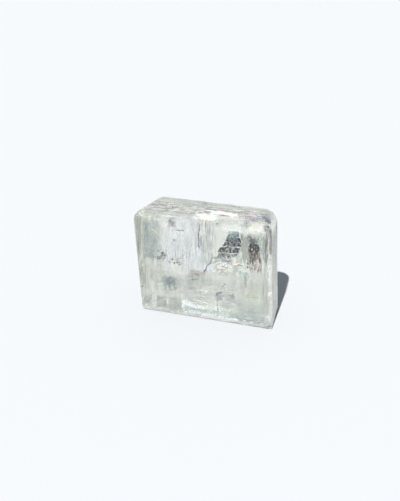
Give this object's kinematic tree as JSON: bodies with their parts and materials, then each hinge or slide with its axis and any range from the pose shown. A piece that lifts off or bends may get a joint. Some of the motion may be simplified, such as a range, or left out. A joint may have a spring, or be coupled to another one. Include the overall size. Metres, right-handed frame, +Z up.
{
  "type": "optical calcite",
  "caption": "Clear upright block of optical calcite with flat faces, worn round edges and a faint grey-green tint, resting on its flat bottom.",
  "frame": {"origin": "on the flat bottom face, under the middle of the block", "axes": "+X along the length, towards the end that is square and nearer the viewer; +Y through the thickness, towards the back face; +Z up"},
  "size_m": [0.0524, 0.0206, 0.0403],
  "materials": {
    "calcite": "clear, worn to a soft gloss, faint grey-green tint"
  },
  "bodies": {
    "root": {"crystal": "calcite"}
  },
  "joints": []
}
